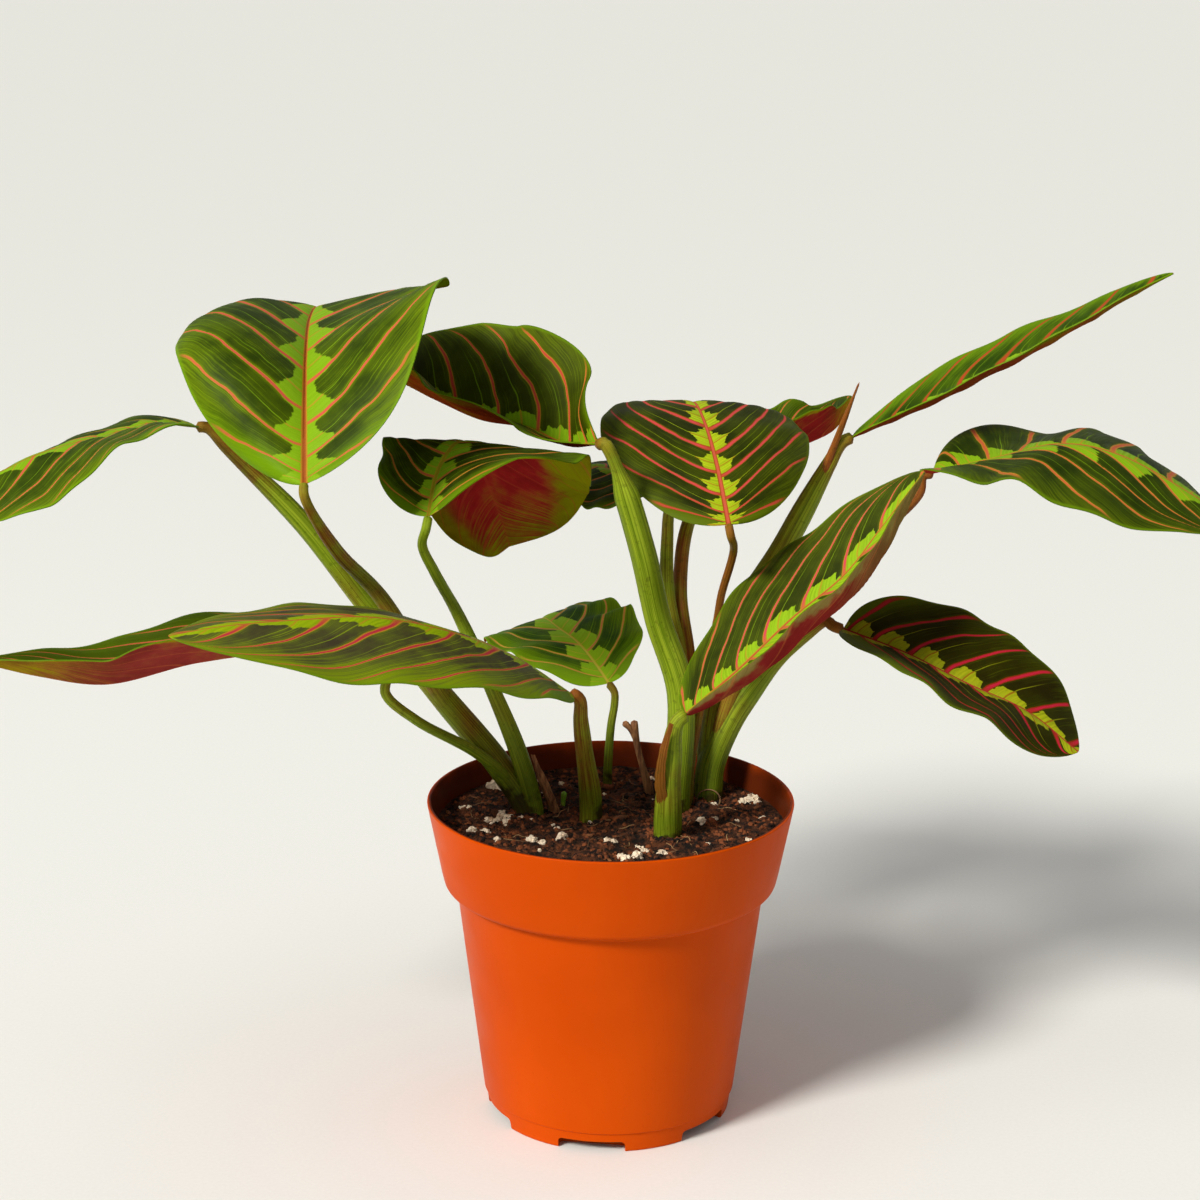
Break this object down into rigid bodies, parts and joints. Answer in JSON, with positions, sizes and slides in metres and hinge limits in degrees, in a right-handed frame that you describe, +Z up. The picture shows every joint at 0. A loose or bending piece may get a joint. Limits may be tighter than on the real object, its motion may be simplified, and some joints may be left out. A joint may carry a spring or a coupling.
{
  "type": "potted prayer plant",
  "caption": "Red-veined prayer plant with long-stalked patterned leaves, rooted in soil in a round tapered plastic nursery pot with a collared rim and drain notches.",
  "frame": {"origin": "centre of the pot's flat underside, on the surface that it stands on", "axes": "+Z up; +Y away from the picture's viewer; +X to the viewer's right, along the plant's longest spread"},
  "size_m": [0.3707, 0.1634, 0.2546],
  "materials": {
    "terracotta_plastic": "orange terracotta, moulded, satin",
    "potting_soil": "dark brown peat and bark with white perlite, moist",
    "green_leaf": "velvety green with lime midrib blotches and red veins, maroon beneath",
    "green_stem": "fresh green, ribbed, tinged brown-red, satin",
    "dry_leaf_base": "dry brown, papery"
  },
  "bodies": {
    "root": {"pot": "terracotta_plastic", "soil": "potting_soil", "sprout": "green_stem", "leaf_top_left": "green_leaf", "leaf_far_left": "green_leaf", "leaf_curled_left": "green_leaf", "leaf_behind_left": "green_leaf", "leaf_front_left": "green_leaf", "leaf_small_centre": "green_leaf", "leaf_back_centre": "green_leaf", "leaf_hidden_centre": "green_leaf", "leaf_back_right": "green_leaf", "leaf_centre": "green_leaf", "leaf_front_right": "green_leaf", "leaf_drooping_right": "green_leaf", "leaf_spear_right": "green_leaf", "leaf_far_right": "green_leaf", "stem_front_right": "green_stem", "stems_right": "green_stem", "stems_left": "green_stem", "stem_front_left": "green_stem", "stem_small_centre": "green_stem", "stems_centre": "green_stem", "dry_bract": "dry_leaf_base", "dry_stub": "dry_leaf_base"}
  },
  "joints": []
}
